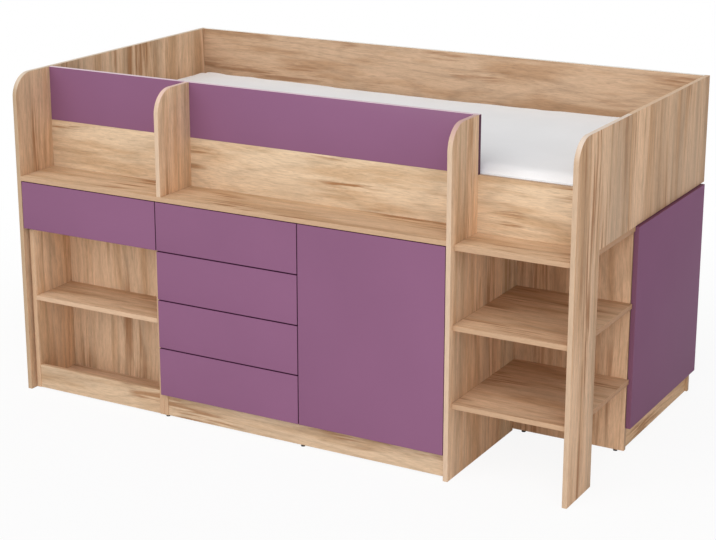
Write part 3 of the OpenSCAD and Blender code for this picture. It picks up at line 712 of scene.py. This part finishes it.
def make_mattress():
    """The cover, as rings of faces from the underside to the middle of the top, and its piping."""
    low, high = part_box("mattress")
    middle = (low + high) / 2
    half = ((high.x - low.x) / 2, (high.y - low.y) / 2)
    height = high.z - low.z
    rings = mattress_profile(height)
    level = rings[-1][1]
    run = half[1] - MATTRESS_EDGE - STRIP_HALF
    insets = [MATTRESS_EDGE + run * i / TOP_RINGS for i in range(1, TOP_RINGS + 1)]
    rings += [(inset, level) for inset in insets]
    work = bmesh.new()
    loops = []
    for inset, z in rings:
        loop = []
        for x, y in rounded_ring(half, inset, MATTRESS_CORNER):
            if z >= level:
                fall_x, fall_y = (x / half[0]) ** CROWN_FALL_X, (y / half[1]) ** CROWN_FALL_Y
                z_here = level + MATTRESS_CROWN * (1 - fall_x) * (1 - fall_y)
                z_here += ripple(x, y, z)
            else:
                z_here = z
            loop.append(work.verts.new((middle.x + x, middle.y + y, low.z + z_here)))
        loops.append(loop)
    for lower, upper in zip(loops, loops[1:]):
        for j in range(len(lower)):
            k = (j + 1) % len(lower)
            work.faces.new((lower[j], lower[k], upper[k], upper[j]))
    fill_ring(work, loops[0][::-1])
    fill_ring(work, loops[-1])
    bmesh.ops.recalc_face_normals(work, faces=work.faces)
    for face in work.faces:
        face.smooth = True
    mesh = bpy.data.meshes.new("mattress_cover")
    work.to_mesh(mesh)
    work.free()
    cover = link_object("mattress_cover", mesh)
    pieces = [cover]
    for label, z in (("lower", MATTRESS_EDGE), ("upper", height - MATTRESS_CROWN - MATTRESS_EDGE)):
        pieces.append(make_piping("mattress_piping_" + label, half, middle, low.z + z))
    for piece in pieces:
        piece.data.materials.append(FINISHES["mattress_cloth"])
        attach(piece, "bed_frame")
        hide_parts("mattress")
    puff_out(cover, low.z + SIM_HELD)
    finer = cover.modifiers.new("finer", "SUBSURF")
    finer.levels = finer.render_levels = COVER_LEVELS


def make_piping(name, half, middle, z):
    """A round tape along a seam, sunk in the cover by more than half of its thickness."""
    curve = bpy.data.curves.new(name, "CURVE")
    curve.dimensions = "3D"
    curve.bevel_depth = PIPING_R
    curve.bevel_resolution = PIPING_ROUND
    spline = curve.splines.new("POLY")
    points = rounded_ring(half, PIPING_R * PIPING_SUNK, MATTRESS_CORNER)
    spline.points.add(len(points) - 1)
    for point, (x, y) in zip(spline.points, points):
        point.co = (middle.x + x, middle.y + y, z, 1)
    spline.use_cyclic_u = True
    return link_object(name, curve)


make_mattress()

# Screws in the hinge cups, the hinge plates and the fixed runners, each with a cross recess.
# A head is straight up to SCREW_RIM of its height, and narrows to SCREW_TOP of its radius
SCREW_R = 0.0036
SCREW_H = 0.0011
SCREW_RIM = 0.45
SCREW_TOP = 0.8
CROSS_LONG = 0.0019
CROSS_HALF = 0.0005
CROSS_DEEP = 0.0007


def add_screw(work, place, facing):
    """One screw head that stands on a surface at place and looks along facing."""
    a, b = CROSS_HALF, CROSS_LONG
    quarter = [(b, -a), (b, a), (a, a)]
    cross = []
    for turn in range(4):
        c, s = ((1, 0), (0, 1), (-1, 0), (0, -1))[turn]
        cross += [(x * c - y * s, x * s + y * c) for x, y in quarter]
    rounds = [(SCREW_R, 0.0), (SCREW_R, SCREW_RIM * SCREW_H), (SCREW_TOP * SCREW_R, SCREW_H)]
    rings = []
    for radius, height in rounds:
        angles = [math.atan2(y, x) for x, y in cross]
        rings.append([(radius * math.cos(t), radius * math.sin(t), height) for t in angles])
    rings.append([(x, y, SCREW_H) for x, y in cross])
    rings.append([(x, y, SCREW_H - CROSS_DEEP) for x, y in cross])
    turned = Vector(facing).to_track_quat("Z", "Y")
    made = [[work.verts.new(Vector(place) + turned @ Vector(p)) for p in ring] for ring in rings]
    for lower, upper in zip(made, made[1:]):
        for j in range(len(lower)):
            k = (j + 1) % len(lower)
            work.faces.new((lower[j], lower[k], upper[k], upper[j]))
    work.faces.new(reversed(made[0]))
    work.faces.new(made[-1])


def make_screws(name, body, spots):
    """One piece of screws on a body, from their places and the ways they face."""
    work = bmesh.new()
    for place, facing in spots:
        add_screw(work, place, facing)
    mesh = bpy.data.meshes.new(name)
    work.to_mesh(mesh)
    work.free()
    piece = link_object(name, mesh)
    mesh.materials.append(FINISHES["hinge_steel"])
    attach(piece, body)


# Places of screws on the hinges, measured from the boxes of the hinge cups
FLANGE_HALF = 0.028
CUP_SCREW_Z = 0.0228
PLATE_SCREW_Z = 0.011
CUP_TO_PLATE = 0.048
FRONT_PLATE = 0.0165
END_PLATE = -0.0005


def hinge_screws():
    """Two screws in each hinge cup, and two in each hinge plate."""
    low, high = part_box("hinge_cups_front")
    x = (low.x + high.x) / 2
    levels = (low.z + FLANGE_HALF, high.z - FLANGE_HALF)
    make_screws("cup_screws_front", "door_front_leaf",
                [((x, high.y, z + dz), (0, 1, 0)) for z in levels for dz in (-CUP_SCREW_Z, CUP_SCREW_Z)])
    plates = [((x + FRONT_PLATE, high.y + CUP_TO_PLATE, z + dz), (-1, 0, 0))
              for z in levels for dz in (-PLATE_SCREW_Z, PLATE_SCREW_Z)]
    low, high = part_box("hinge_cups_end")
    y = (low.y + high.y) / 2
    make_screws("cup_screws_end", "door_end_leaf",
                [((low.x, y, z + dz), (-1, 0, 0)) for z in levels for dz in (-CUP_SCREW_Z, CUP_SCREW_Z)])
    plates += [((low.x - CUP_TO_PLATE, y + END_PLATE, z + dz), (0, -1, 0))
               for z in levels for dz in (-PLATE_SCREW_Z, PLATE_SCREW_Z)]
    make_screws("plate_screws", "bed_frame", plates)


# Places of screws on the fixed runners, measured from the boxes of the moving runners
DRAWERS = range(1, 6)
WEB_BEHIND_LIP = 0.00255
ROLLER_MID_UP = 0.0122
RUNNER_SCREW_END = 0.045


def runner_screws():
    """Three screws in each fixed runner."""
    spots = []
    for k in DRAWERS:
        low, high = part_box(f"drawer_{k}_runners")
        z = low.z + ROLLER_MID_UP
        for y in (low.y + RUNNER_SCREW_END, (low.y + high.y) / 2, high.y - RUNNER_SCREW_END):
            spots.append(((low.x - WEB_BEHIND_LIP, y, z), (1, 0, 0)))
            spots.append(((high.x + WEB_BEHIND_LIP, y, z), (-1, 0, 0)))
    make_screws("runner_screws", "bed_frame", spots)


hinge_screws()
runner_screws()

# Floor, which glows white away from the bed and less near it, where a faint shadow stays
FLOOR_HALF = 30.0
GLOW_NEAR = 0.90
GLOW_FAR = 1.0
NEAR_REACH = 1.2
FAR_REACH = 3.0
# The glow is held back under the middle of the bed, in a rectangle on the floor with soft sides
UNDER_MIDDLE = (-0.20, 0.06)
UNDER_HALF = (0.80, 0.48)
UNDER_FROM = 0.75
UNDER_TO = 1.00
UNDER_SHARE = 0.40


def make_floor():
    """A large floor whose glow only the camera sees."""
    mesh = bpy.data.meshes.new("floor")
    corners = [(-1, -1), (1, -1), (1, 1), (-1, 1)]
    mesh.from_pydata([(FLOOR_HALF * x, FLOOR_HALF * y, 0) for x, y in corners], [], [(0, 1, 2, 3)])
    floor = link_object("floor", mesh)
    s = Shader("floor")
    s.bsdf.inputs["Base Color"].default_value = (*FLOOR_WHITE, 1)
    s.bsdf.inputs["Roughness"].default_value = FLOOR_ROUGH
    s.bsdf.inputs["Specular IOR Level"].default_value = FLOOR_GLOSS
    glow = s.node("ShaderNodeEmission")
    glow.inputs["Color"].default_value = PURE_WHITE
    reach = s.node("ShaderNodeVectorMath", operation="LENGTH")
    s.link(s.coordinate("Object"), reach.inputs[0])
    fade = s.faded(reach.outputs["Value"], NEAR_REACH, FAR_REACH, GLOW_NEAR, GLOW_FAR)
    place = s.split(s.coordinate("Object"))
    sides = []
    for axis in (X, Y):
        off = s.maths("ABSOLUTE", s.maths("SUBTRACT", place[axis], UNDER_MIDDLE[axis]))
        sides.append(s.maths("DIVIDE", off, UNDER_HALF[axis]))
    under = s.faded(s.maths("MAXIMUM", *sides), UNDER_FROM, UNDER_TO, UNDER_SHARE, 1.0)
    glowing = s.maths("MULTIPLY", fade, under)
    seen = s.node("ShaderNodeLightPath").outputs["Is Camera Ray"]
    mixed = s.node("ShaderNodeMixShader")
    s.link(s.maths("MULTIPLY", seen, glowing), mixed.inputs["Fac"])
    s.link(s.bsdf.outputs[0], mixed.inputs[1])
    s.link(glow.outputs[0], mixed.inputs[2])
    s.link(mixed.outputs[0], s.tree.nodes["Material Output"].inputs["Surface"])
    mesh.materials.append(s.material)


make_floor()

# Light: an even white room, and one very wide soft lamp from the front and above
ROOM_LIGHT = 0.42
KEY_FROM = Vector((0.06, -0.80, 0.60))
KEY_WIDTH = math.radians(80)
KEY_STRENGTH = 1.95


def make_light():
    """The room, which the camera, reflections and clear materials see as white, and the lamp."""
    world = bpy.data.worlds.new("room")
    bpy.context.scene.world = world
    world.use_nodes = True
    tree = world.node_tree
    room = tree.nodes["Background"]
    room.inputs["Color"].default_value = PURE_WHITE
    room.inputs["Strength"].default_value = ROOM_LIGHT
    white = tree.nodes.new("ShaderNodeBackground")
    white.inputs["Color"].default_value = PURE_WHITE
    white.inputs["Strength"].default_value = 1.0
    path = tree.nodes.new("ShaderNodeLightPath")
    shown = path.outputs["Is Camera Ray"]
    for ray in ("Is Glossy Ray", "Is Transmission Ray"):
        either = tree.nodes.new("ShaderNodeMath")
        either.operation = "MAXIMUM"
        tree.links.new(shown, either.inputs[0])
        tree.links.new(path.outputs[ray], either.inputs[1])
        shown = either.outputs[0]
    mixed = tree.nodes.new("ShaderNodeMixShader")
    tree.links.new(shown, mixed.inputs["Fac"])
    tree.links.new(room.outputs[0], mixed.inputs[1])
    tree.links.new(white.outputs[0], mixed.inputs[2])
    tree.links.new(mixed.outputs[0], tree.nodes["World Output"].inputs["Surface"])
    lamp = bpy.data.lights.new("key", "SUN")
    lamp.angle = KEY_WIDTH
    lamp.energy = KEY_STRENGTH
    key = link_object("key", lamp)
    key.rotation_euler = (-KEY_FROM).to_track_quat("-Z", "Y").to_euler()


make_light()

# Camera, fitted to the photograph with a small shift of the picture
CAMERA_PLACE = (2.8050, -4.9988, 2.1935)
CAMERA_YAW = 0.51343
CAMERA_PITCH = 0.27668
CAMERA_LENS = 87.55
CAMERA_SENSOR = 36.0
CAMERA_SHIFT_Y = -0.05
CAMERA_NEAR = 0.1
CAMERA_FAR = 100.0


def make_camera():
    """The camera, which looks down by CAMERA_PITCH."""
    data = bpy.data.cameras.new("camera")
    data.sensor_width = CAMERA_SENSOR
    data.lens = CAMERA_LENS
    data.shift_y = CAMERA_SHIFT_Y
    data.clip_start = CAMERA_NEAR
    data.clip_end = CAMERA_FAR
    camera = link_object("camera", data)
    camera.location = CAMERA_PLACE
    camera.rotation_euler = Euler((math.pi / 2 - CAMERA_PITCH, 0, CAMERA_YAW))
    bpy.context.scene.camera = camera


make_camera()
bpy.context.scene.view_settings.view_transform = "Standard"
